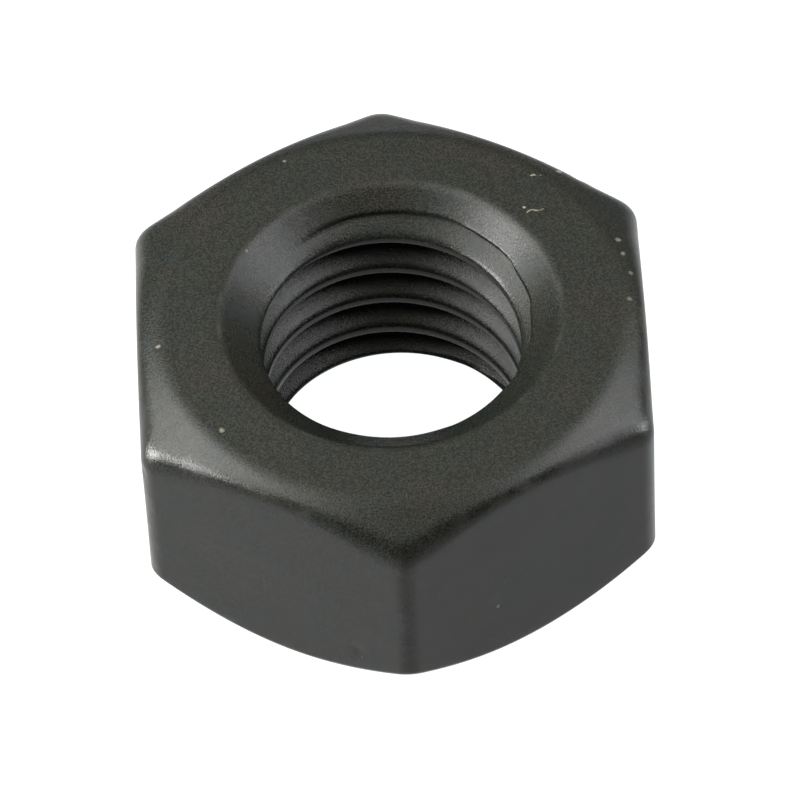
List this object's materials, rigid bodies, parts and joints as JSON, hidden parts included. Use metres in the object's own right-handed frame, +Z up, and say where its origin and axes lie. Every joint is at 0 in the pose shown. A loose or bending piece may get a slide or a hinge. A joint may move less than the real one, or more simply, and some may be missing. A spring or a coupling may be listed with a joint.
{
  "type": "hex nut",
  "caption": "Hexagonal machine nut with a coarse right-hand internal thread, a lead-in cone at each end and chamfered corners, in black-oxide steel.",
  "frame": {"origin": "centre of the lower bearing face, on the thread's axis", "axes": "+Z up along the thread's axis; two of the six flats face +X and -X, and two corners point along +Y and -Y"},
  "size_m": [0.016, 0.0184, 0.0082],
  "materials": {
    "black_oxide_steel": "black oxide, semi-matt, lightly mottled, with fine turning marks in the lead-in cones"
  },
  "bodies": {
    "root": {"hex_nut": "black_oxide_steel"}
  },
  "joints": []
}
